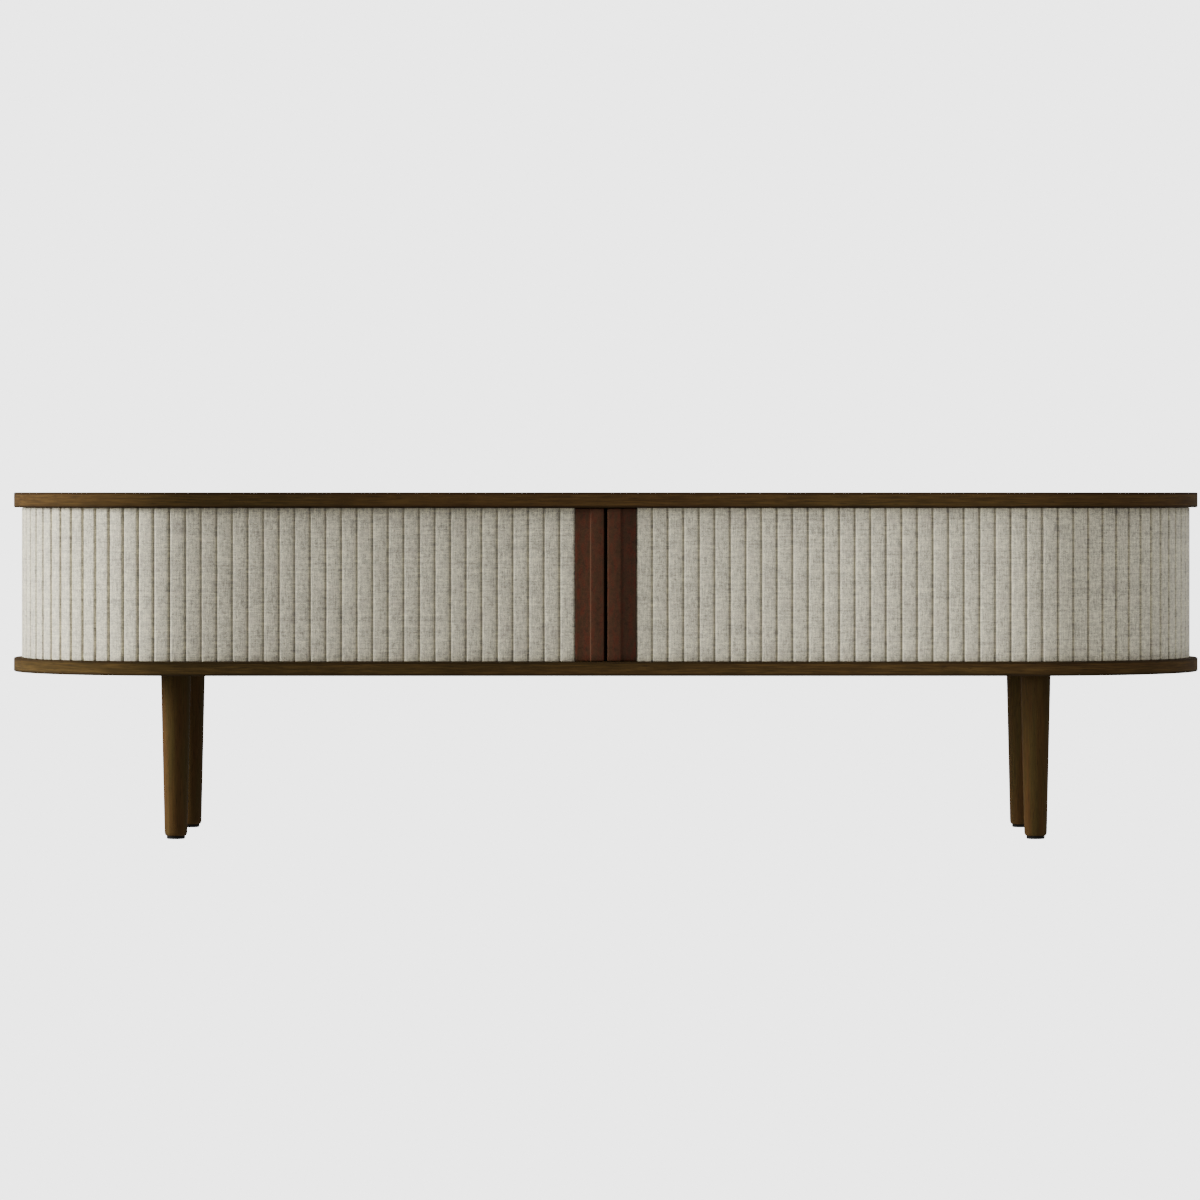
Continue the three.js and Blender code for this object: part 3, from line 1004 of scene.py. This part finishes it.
@dataclass
class Board:
    """A stadium-shaped board with an eased rim and the doors' groove on one face."""

    node: str
    groove_above: bool
    track: Track = field(default_factory=Track)
    ease: float = 1.8 * MM
    groove_inset: float = 0.9 * MM
    groove_depth: float = 6.4 * MM
    curve_steps: int = 72
    straight_steps: int = 10

    def path(self, radius: float, height: float) -> list[Point]:
        """Draws the closed loop of a stadium.

        Args:
            radius: The radius of its half-circles.
            height: The height that it lies at.

        Returns:
            Its points, counter-clockwise.
        """
        half = self.track.straight_half
        points: list[Point] = []
        for sign in (-1, 1):  # the edge band is joined at the back
            for i in range(self.straight_steps):
                points.append((sign * half * (2 * i / self.straight_steps - 1), -sign * radius, height))
            for x, y in arc((0.0, 0.0), radius, -90 * sign, -90 * sign + 180, self.curve_steps)[:-1]:
                points.append((sign * half + x, y, height))
        return points

    def section(self, low: float, high: float, radius: float) -> list[tuple[float, float, float]]:
        """Draws the board's section.

        Args:
            low: The height of its underside.
            high: The height of its upper side.
            radius: The radius of its rim.

        Returns:
            Radius, height and the share of painted edge shade, from one cap round the rim to the other.
        """
        inner = self.track.radius + self.groove_inset
        outer = self.track.radius + self.track.slat - self.groove_inset
        e = self.ease
        floor = high - self.groove_depth if self.groove_above else low + self.groove_depth
        mouth = high if self.groove_above else low
        groove = [(inner, mouth, 0.0), (inner, floor, 0.0), (outer, floor, 0.0), (outer, mouth, 0.0)]
        lower = [(r, z, 1.0) for r, z in arc((radius - e, low + e), e, -90, 0, 4)]
        upper = [(r, z, 1.0) for r, z in arc((radius - e, high - e), e, 0, 90, 4)]
        body = [(radius, low + 2 * e, 0.0), (radius, high - 2 * e, 0.0)]
        cap_low = [(radius - 2.5 * e, low, 0.0)]
        cap_high = [(radius - 2.5 * e, high, 0.0)]
        rim = cap_low + lower + body + upper + cap_high
        return rim + groove[::-1] if self.groove_above else groove + rim

    def build(self, finishes: Finishes) -> None:
        """Builds the board in place of its node.

        Args:
            finishes: The shared materials.
        """
        low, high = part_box(self.node)
        radius = (high[1] - low[1]) / 2
        draft = Draft()
        rows = self.section(low[2], high[2], radius)
        loops = [draft.loop(self.path(r, z), edge) for r, z, edge in rows]
        count = len(loops[0])
        rim_path = self.path(radius, 0.0)
        along = [0.0]
        for i in range(count):
            (ax, ay, _), (bx, by, _) = rim_path[i], rim_path[(i + 1) % count]
            along.append(along[-1] + math.hypot(bx - ax, by - ay))
        for (r0, z0, _), (r1, z1, _), lower, upper in zip(rows, rows[1:], loops, loops[1:]):
            steep = abs(z1 - z0) > abs(r1 - r0)
            for i in range(count):
                j = (i + 1) % count
                corners = [lower[i], lower[j], upper[j], upper[i]]
                if steep:
                    uv = [(along[i], z0), (along[i + 1], z0), (along[i + 1], z1), (along[i], z1)]
                else:
                    uv = [draft.points[c][:2] for c in corners]
                draft.face(corners, uv)
        for cap in (loops[0][::-1], loops[-1]):
            draft.face(cap, [draft.points[c][:2] for c in cap])
        name = self.node + "_veneered"
        place(draft.mesh(name, 50.0), name, finishes.veneer, stands_for=[self.node])


@dataclass
class Door:
    """One tambour door: a leather-faced stile and slats on a backing cloth."""

    side: str
    sign: int  # -1 for the left door and 1 for the right one
    finishes: Finishes
    tree: RepeatTree  # stands slats along the track
    track: Track = field(default_factory=Track)
    fringe: float = 0.55 * MM  # the cut cloth stands past each end of a slat and fills the play
    gap: float = 0.2 * MM  # open line between two wrapped slats
    loose_gap: float = 1.1 * MM  # the same where slats bend inwards as the door opens
    lap: float = 0.55 * MM  # each strip of backing reaches under the next slat, so no light passes
    loose_lap: float = 1.1 * MM  # the same under the loose slats
    strip_gap: float = 0.3 * MM  # open line between two strips of backing
    groove: float = 1.5 * MM  # width of the groove's floor, where the cloth is pressed in
    shoulder: Pair = (2.3 * MM, 2.9 * MM)  # how far a wrapped corner rounds across and inwards
    crown: float = 0.25 * MM  # the wrapped face swells a little in its middle
    glue: float = 0.25 * MM  # between the backing and the slat
    backing: float = 1.1 * MM
    thin_backing: float = 0.45 * MM  # where the door bends most as it opens
    slat_ease: float = 0.7 * MM
    slat_rows: int = 16  # rows of faces up a slat, so that its cloth can wander
    unevenness: float = 0.28 * MM  # how far the wrapped cloth wanders
    tongue_half: float = 5.5 * MM
    tongue_inset: float = 2.1 * MM  # from the slat's face and from its back
    meeting_gap: float = 2.0 * MM
    pull_width: float = 36.0 * MM
    rib_width: float = 17.0 * MM
    stile: float = 4.7 * MM

    def __post_init__(self) -> None:
        """Lists the rigid groups and reads the slats' and tongues' heights from the frame."""
        self.groups = [("lead", 5)] + [(f"front_{n}", 2) for n in range(1, 11)] + [("end", 15)]
        self.groups += [(f"rear_{n}", 3) for n in range(1, 7)] + [("rear_7", 2), ("trail", 5)]
        low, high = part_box(f"{self.side}_door_front_slats_1")
        self.low, self.high = low[2], high[2]
        tongue_low, tongue_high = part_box(f"{self.side}_door_end_slats")
        self.tongue = (tongue_high[2] - tongue_low[2] - (self.high - self.low)) / 2

    def build(self) -> None:
        """Builds the whole door, group by group from its meeting edge."""
        blanks = self.blanks()
        start = self.meeting_gap + self.pull_width
        cloth, canvas = self.finishes.cloth, self.finishes.backing
        for number, (group, count) in enumerate(self.groups):
            node = self.node_of(group)
            common = {"Count": count, "Start": start, "Seed": number + 40 * (self.sign + 1)}
            common["body"] = f"{self.side}_door_{group}"
            kind = "loose_" if group.startswith(("rear", "trail")) else ""
            shape, uneven = blanks[kind + "slat"], self.unevenness
            self.run(f"{node}_wrapped", shape, cloth, "door_fabric", uneven, [node], **common)
            kind = "thin_" if group in ("front_10", "end") else kind
            self.run(f"{node}_backing", blanks[kind + "backing"], canvas, "door_fabric", **common)
            if group in ("lead", "end", "trail"):
                plastic = self.finishes.plastic
                self.run(f"{node}_tongues", blanks["tongue"], plastic, "black_plastic", **common)
            start += count * self.track.pitch
        self.build_pull()
        for blank in blanks.values():
            bpy.data.objects.remove(blank)

    def node_of(self, group: str) -> str:
        """Finds the frame's node for a group of slats.

        Args:
            group: The group's name.

        Returns:
            The node's name.
        """
        if group in ("lead", "end", "trail"):
            word = {"lead": "leading", "end": "end", "trail": "trailing"}[group]
            return f"{self.side}_door_{word}_slats"
        zone, number = group.split("_")
        return f"{self.side}_door_{zone}_slats_{number}"

    def run(
        self,
        name: str,
        blank: bpy.types.Object,
        material: bpy.types.Material,
        slot: str,
        unevenness: float = 0.0,
        stands_for: Sequence[str] = (),
        *,
        body: str,
        **common: float,
    ) -> None:
        """Repeats a blank along the track as one piece.

        Args:
            name: The piece's name.
            blank: What is repeated.
            material: Its finish.
            slot: The record's material slot, which is not used.
            unevenness: How far the wrapped cloth wanders.
            stands_for: Nodes that it is shown instead of.
            body: The body it moves with.
            common: The run's start, count and seed.
        """
        mesh = self.tree.run(
            name,
            Blank=blank,
            Material=material,
            Pitch=self.track.pitch,
            Track_Radius=self.track.radius,
            Straight_Half=self.track.straight_half,
            Side=float(self.sign),
            Unevenness=unevenness,
            **common,
        )
        place(mesh, name, material, body, stands_for)

    def slat_profile(self, gap: float) -> list[Pair]:
        """Draws a wrapped slat's section, its face towards -Y.

        Args:
            gap: The open line between it and the next slat.

        Returns:
            Its points, counter-clockwise.
        """
        half = (self.track.pitch - self.groove) / 2
        foot = (self.track.pitch - gap) / 2
        face, back = -self.track.slat, -self.backing - self.glue
        across, inward = self.shoulder
        steps, flat = 6, 5
        corner = []
        for k in range(steps + 1):
            a = math.radians(90 * k / steps)
            x, y = half - across * (1 - math.cos(a)), face + self.crown + inward * (1 - math.sin(a))
            corner.append((x, y))
        crown = []
        for i in range(1, flat):
            t = i / flat
            rise = self.crown * (1 - 4 * t * (1 - t))
            crown.append(((half - across) * (2 * t - 1), face + rise))
        floor = face + self.crown + inward + 0.15 * MM
        left = [(-foot, back), (-foot, floor), *((-x, y) for x, y in corner)]
        return [*left, *crown, *reversed(corner), (foot, floor), (foot, back)]

    def blanks(self) -> dict[str, bpy.types.Object]:
        """Makes two kinds of wrapped slat, three of its strip of backing, and its two tongues.

        Returns:
            Each blank under its own name.
        """
        low, high = self.low - self.fringe, self.high + self.fringe
        drafts = {}
        for kind, gap in (("slat", self.gap), ("loose_slat", self.loose_gap)):
            profile = self.slat_profile(gap)
            drafts[kind] = upright_prism(profile, low, high, self.slat_ease, self.slat_rows)
        half = (self.track.pitch - self.strip_gap) / 2
        for kind, depth, reach in (
            ("backing", self.backing, self.lap),
            ("thin_backing", self.thin_backing, self.lap),
            ("loose_backing", self.thin_backing, self.loose_lap),
        ):
            left, right = reach * self.sign - half, reach * self.sign + half
            strip = [(left, -depth), (right, -depth), (right, 0.0), (left, 0.0)]
            drafts[kind] = upright_prism(strip, low, high, 0.1 * MM, 2)
        wide, back = self.tongue_half, -self.tongue_inset
        face = self.tongue_inset - self.track.slat
        bar = [(-wide, face), (wide, face), (wide, back), (-wide, back)]
        root = 1 * MM  # how far a tongue reaches into its slat
        tongues = upright_prism(bar, self.low - self.tongue, self.low + root, 0.5 * MM, 1)
        tongues.join(upright_prism(bar, self.high - root, self.high + self.tongue, 0.5 * MM, 1))
        drafts["tongue"] = tongues
        return {kind: blank_of(draft, f"{kind}_blank") for kind, draft in drafts.items()}

    def build_pull(self) -> None:
        """Builds the wooden stile and the leather that faces it."""
        low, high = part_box(f"{self.side}_door_leather_pull")
        y_face = low[1]
        flat = -(self.track.radius + self.track.slat)
        back = high[1]
        inner = self.meeting_gap
        outer = self.meeting_gap + self.pull_width - 0.5 * MM
        rib = inner + self.rib_width
        r, small = 1.5 * MM, 0.9 * MM
        points = [(inner, back)]
        points += arc((inner + r, y_face + r), r, 180, 270, 5)
        points += arc((rib - r, y_face + r), r, 270, 360, 5)
        points += arc((rib + small, flat - small), small, 180, 90, 3)
        points += arc((outer - r, flat + r), r, 270, 360, 5)
        points += [(outer, back)]
        if self.sign < 0:
            points = [(-x, y) for x, y in reversed(points)]
        draft = upright_prism(points, low[2], high[2], 0.9 * MM, 24)
        corners = {inner: 1.0, rib: 1.0, outer: 0.7}  # how much painted highlight lies on that edge
        reach = 1.6 * MM
        for i, (x, y, _) in enumerate(draft.points):
            near = [share for at, share in corners.items() if abs(abs(x) - at) < reach]
            near = near if y < flat + 2 * MM else []
            draft.edges[i] = max([*near, draft.edges[i] * 0.4])
        body = f"{self.side}_door_lead"
        name, node = f"{self.side}_pull_leather", f"{self.side}_door_leather_pull"
        place(draft.mesh(name, 60.0), name, self.finishes.leather, body, [node])
        face = -self.track.radius - self.stile
        core_low = (min(self.sign * inner, self.sign * outer), face, self.low)
        core_high = (max(self.sign * inner, self.sign * outer), -self.track.radius, self.high)
        core = eased_box(core_low, core_high, 0.5 * MM, 2)
        name = f"{self.side}_pull_stile"
        place(core.mesh(name), name, self.finishes.veneer, body)


@dataclass
class Leg:
    """A tapered turned leg with a rounded foot and a moulded glide."""

    name: str
    foot: float = 14.2 * MM  # the foot's radius above its rounding
    foot_ease: Pair = (3.0 * MM, 5.4 * MM)  # how far the foot rounds in and up
    taper_steps: int = 8
    glide_ease: float = 1.6 * MM

    def build(self, finishes: Finishes) -> None:
        """Builds the leg and its glide in place of their nodes.

        Args:
            finishes: The shared materials.
        """
        low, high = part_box(f"{self.name}_leg")
        centre = ((low[0] + high[0]) / 2, (low[1] + high[1]) / 2, 0.0)
        top = (high[0] - low[0]) / 2
        foot, steps = self.foot, self.taper_steps
        inset, rise = self.foot_ease
        bottom = [(x, low[2] + rise * (1 + z)) for x, z in arc((0.0, 0.0), 1.0, -90, 0, 8)]
        bottom = [(foot - inset * (1 - x), z) for x, z in bottom]
        start = low[2] + rise
        shares = [k / steps for k in range(1, steps + 1)]
        taper = [(foot + (top - foot) * t, start + (high[2] - start) * t) for t in shares]
        section = [(0.0, low[2]), *bottom, *taper, (0.0, high[2])]
        name = f"{self.name}_turned_leg"
        mesh = turned(section, centre).mesh(name, 50.0)
        place(mesh, name, finishes.upright_oak, stands_for=[f"{self.name}_leg"])
        low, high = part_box(f"{self.name}_glide")
        radius, g = (high[0] - low[0]) / 2, self.glide_ease
        rim = arc((radius - g, low[2] + g), g, -90, 0, 5)
        section = [(0.0, low[2]), (radius * 0.5, low[2]), *rim, (radius, high[2]), (0.0, high[2])]
        name = f"{self.name}_moulded_glide"
        mesh = turned(section, centre, segments=40).mesh(name)
        place(mesh, name, finishes.plastic, stands_for=[f"{self.name}_glide"])


@dataclass
class InnerCase:
    """The fixed case between the boards, with its shelves, outlets and fixings."""

    finishes: Finishes
    rows: RepeatTree
    ease: float = 1.0 * MM
    outlet_radius: float = 30.0 * MM
    outlet_lip: float = 4.0 * MM
    screw_radius: float = 3.6 * MM
    screw_margin: float = 9.0 * MM  # from the back panel's edges
    screws_along: int = 8
    pin: Pair = (2.5 * MM, 8.0 * MM)  # radius and length
    end_margin: float = 40.0 * MM  # from a panel's front and back edges to its first fixing

    def build(self) -> None:
        """Builds every piece of the case."""
        for node, grain in (
            ("left_side_panel", 1),
            ("right_side_panel", 1),
            ("centre_partition", 1),
            ("left_shelf", 0),
            ("right_shelf", 0),
            ("rear_post", 2),
        ):
            low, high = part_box(node)
            draft = eased_box(tuple(low), tuple(high), self.ease, grain)
            name = node + "_edged"
            place(draft.mesh(name), name, self.finishes.veneer, stands_for=[node])
        self.dress_back()
        self.build_outlets()
        self.build_pins()
        self.build_screws()

    def dress_back(self) -> None:
        """Gives the frame's own back panel its oak."""
        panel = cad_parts["back_panel"]
        panel.data.materials.clear()
        panel.data.materials.append(self.finishes.long_oak)
        log.info("back_panel keeps its frame mesh")

    def outlet_centres(self) -> list[Pair]:
        """Finds the cable outlets, each midway along its compartment.

        Returns:
            X and Z of the left one and the right one.
        """
        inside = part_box("back_panel")[1][0]
        half_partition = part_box("centre_partition")[1][0]
        low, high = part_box("top_board")[0][2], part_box("bottom_board")[1][2]
        x = (inside + half_partition) / 2
        return [(-x, high + (low - high) / 4), (x, high + (low - high) / 4)]

    def build_outlets(self) -> None:
        """Builds the moulded ring that lines each cable outlet."""
        low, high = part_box("back_panel")
        depth = high[1] - low[1]
        sleeve, lip, wall = self.outlet_radius - 0.3 * MM, self.outlet_radius + self.outlet_lip, 2.0 * MM
        thick = 1.6 * MM
        section = [(sleeve - wall, -depth), (sleeve, -depth), (sleeve, 0.2 * MM), (lip, 0.2 * MM)]
        section += [(lip, thick * 0.6), (lip - thick * 0.4, thick), (sleeve - wall + 0.5 * MM, thick)]
        section += [(sleeve - wall, thick - 0.5 * MM)]
        for side, (x, z) in zip(("left", "right"), self.outlet_centres()):
            draft = turned(section, (x, high[1], z), (0, 1, 0), 64, closed=True)
            name = f"{side}_cable_outlet_ring"
            place(draft.mesh(name), name, self.finishes.plastic)

    def screw_blank(self) -> bpy.types.Object:
        """Makes a countersunk screw head with a raised cross.

        Returns:
            The head, its face towards +Z at height 0.
        """
        r, sink = self.screw_radius, 1.0 * MM
        section = [(0.0, -sink), (r * 0.6, -sink), (r, 0.0), (r * 0.86, 0.35 * MM), (0.0, 0.45 * MM)]
        head = turned(section, (0, 0, 0), (0, 0, 1), 20)
        for long, wide in ((r * 0.52, r * 0.11), (r * 0.11, r * 0.52)):
            bar = [(-long, -wide), (long, -wide), (long, wide), (-long, wide)]
            head.join(upright_prism(bar, 0.2 * MM, 0.5 * MM, 0.05 * MM, 1))
        return blank_of(head, "screw_blank")

    def build_screws(self) -> None:
        """Builds the rows of screws through the back panel and up through the bottom board."""
        blank = self.screw_blank()
        low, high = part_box("back_panel")
        margin, count = self.screw_margin, self.screws_along
        facing_back = (-math.pi / 2, 0.0, 0.0)
        facing_down = (math.pi, 0.0, 0.0)
        step = (high[0] - low[0] - 2 * margin) / (count - 1)
        for edge, z in (("upper", high[2] - margin), ("lower", low[2] + margin)):
            start = (low[0] + margin, high[1] - 0.1 * MM, z)
            self.row(f"back_panel_{edge}_screws", blank, start, (step, 0, 0), count, facing_back)
        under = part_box("bottom_board")[0][2] + 0.35 * MM
        for node in ("left_side_panel", "centre_partition", "right_side_panel"):
            low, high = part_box(node)
            middle = (low[0] + high[0]) / 2
            start = (middle, low[1] + self.end_margin, under)
            step = (high[1] - low[1] - 2 * self.end_margin) / 2
            self.row(f"{node}_screws", blank, start, (0, step, 0), 3, facing_down)
        bpy.data.objects.remove(blank)

    def build_pins(self) -> None:
        """Builds the steel pins that each shelf rests on."""
        (radius, length), ease = self.pin, 0.6 * MM
        section = [(0.0, 0.0), (radius, 0.0), (radius, length - ease), (radius - ease, length)]
        section += [(0.0, length)]
        blank = blank_of(turned(section, (0, 0, 0), (0, 0, 1), 20), "pin_blank")
        for side in ("left", "right"):
            low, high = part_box(f"{side}_shelf")
            z = low[2] - radius - 0.1 * MM
            step = (high[1] - low[1]) - 2 * self.end_margin
            for end, x, aim in (("left_end", low[0], math.pi / 2), ("right_end", high[0], -math.pi / 2)):
                start = (x, low[1] + self.end_margin, z)
                self.row(f"{side}_shelf_pins_{end}", blank, start, (0, step, 0), 2, (0.0, aim, 0.0))
        bpy.data.objects.remove(blank)

    def row(
        self, name: str, blank: bpy.types.Object, start: Point, step: Point, count: int, aim: Point
    ) -> None:
        """Repeats a fixing in an even row as one piece.

        Args:
            name: The piece's name.
            blank: The fixing.
            start: The first one's place.
            step: From each one to the next.
            count: How many there are.
            aim: The turn that points the fixing's +Z the right way.
        """
        steel = self.finishes.steel
        values = {"Start": start, "Step": step, "Count": count, "Aim": aim, "Seed": 7}
        mesh = self.rows.run(name, Blank=blank, Material=steel, **values)
        place(mesh, name, steel)


# ---------------------------------------------------------------- studio


@dataclass
class Studio:
    """The camera, the soft lights and the pale floor."""

    distance: float = 7.5
    focal: float = 177.3
    shift_across: float = -0.0048
    shift_up: float = -0.0897
    ground: float = 3.615  # how bright the pale surround and the floor look
    surround: float = 0.62  # the even light that the surround gives
    floor_half: float = 60.0

    def build(self) -> None:
        """Builds the studio."""
        self.build_camera()
        self.build_world()
        self.build_floor()
        self.sun("key", 9.8, 28, (77.0, 0.0, -85.5))
        self.sun("sheen", 2.6, 28, (77.0, 0.0, -85.5), gloss=True)
        self.sun("side", 0.7, 50, (60.0, 0.0, 84.0))
        self.beam("front", 118.0, 15, (-1.20, -1.80, 0.42), (0.37, -0.23, 0.31))

    def build_camera(self) -> None:
        """Places the camera level with the top, a long way in front."""
        camera = bpy.data.cameras.new("camera")
        camera.lens = self.focal
        camera.sensor_width = 36.0
        camera.shift_x = self.shift_across
        camera.shift_y = self.shift_up
        camera.clip_end = 200.0
        holder = bpy.data.objects.new("camera", camera)
        holder.location = (0.0, -self.distance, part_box("top_board")[1][2])
        holder.rotation_euler = (math.pi / 2, 0.0, 0.0)
        bpy.context.scene.collection.objects.link(holder)
        bpy.context.scene.camera = holder

    def sun(self, name: str, strength: float, spread: float, turn: Point, gloss: bool = False) -> None:
        """Adds a broad light from far away.

        Args:
            name: The light's name.
            strength: Its strength in watts per square metre.
            spread: Its angular size in degrees.
            turn: Its rotation in degrees.
            gloss: Whether it makes only gloss, or no gloss at all.
        """
        light = bpy.data.lights.new(name, "SUN")
        light.energy = strength
        light.angle = math.radians(spread)
        holder = bpy.data.objects.new(name, light)
        holder.rotation_euler = [math.radians(angle) for angle in turn]
        holder.visible_glossy = gloss
        holder.visible_diffuse = not gloss
        bpy.context.scene.collection.objects.link(holder)

    def beam(self, name: str, power: float, angle: float, spot: Point, aim: Point) -> None:
        """Adds a soft-edged beam that falls slantwise on part of the front.

        Args:
            name: The light's name.
            power: Its power in watts.
            angle: The angle of its cone in degrees.
            spot: Its place.
            aim: The point it is turned to.
        """
        light = bpy.data.lights.new(name, "SPOT")
        light.energy = power
        light.spot_size = math.radians(angle)
        light.spot_blend = 1.0
        light.shadow_soft_size = 0.2
        holder = bpy.data.objects.new(name, light)
        holder.location = spot
        holder.rotation_euler = (Vector(aim) - Vector(spot)).to_track_quat("-Z", "Y").to_euler()
        bpy.context.scene.collection.objects.link(holder)

    def build_world(self) -> None:
        """Sets the even pale surround that the camera sees, and a weaker one that gives light."""
        world = bpy.data.worlds.new("studio")
        bpy.context.scene.world = world
        world.use_nodes = True
        tree = world.node_tree
        tree.nodes.clear()
        white = linear("#FFFFFF")
        seen = add(tree, "ShaderNodeBackground", {0: white, 1: self.ground})
        lit = add(tree, "ShaderNodeBackground", {0: white, 1: self.surround})
        direct = add(tree, "ShaderNodeLightPath").outputs["Is Camera Ray"]
        mixed = add(tree, "ShaderNodeMixShader", {0: direct, 1: lit.outputs[0], 2: seen.outputs[0]})
        add(tree, "ShaderNodeOutputWorld", {0: mixed.outputs[0]})

    def build_floor(self) -> None:
        """Builds the pale floor, level with the glides' undersides."""
        half = self.floor_half
        mesh = bpy.data.meshes.new("floor")
        corners = [(-half, -half, 0.0), (half, -half, 0.0), (half, half, 0.0), (-half, half, 0.0)]
        mesh.from_pydata(corners, [], [(0, 1, 2, 3)])
        material = bpy.data.materials.new("paper_pale_matt_coated")
        material.use_nodes = True
        tree = material.node_tree
        tree.nodes.clear()
        paper = add(tree, "ShaderNodeEmission", {0: linear("#FFFFFF"), 1: self.ground})
        add(tree, "ShaderNodeOutputMaterial", {0: paper.outputs[0]})
        mesh.materials.append(material)
        floor = bpy.data.objects.new("floor", mesh)
        floor.visible_diffuse = False
        floor.visible_glossy = False
        bpy.context.scene.collection.objects.link(floor)


def main() -> None:
    """Builds the studio and the cabinet, piece by piece."""
    logging.basicConfig(level=logging.INFO, format="%(name)s: %(message)s")
    Studio().build()
    finishes = Finishes()
    slats, rows = slat_tree(), row_tree()
    Board("top_board", groove_above=False).build(finishes)
    Board("bottom_board", groove_above=True).build(finishes)
    for side, sign in (("left", -1), ("right", 1)):
        Door(side, sign, finishes, slats).build()
    for row in ("front", "rear"):
        for end in ("left", "right"):
            Leg(f"{row}_{end}").build(finishes)
    InnerCase(finishes, rows).build()


if __name__ == "__main__":
    main()
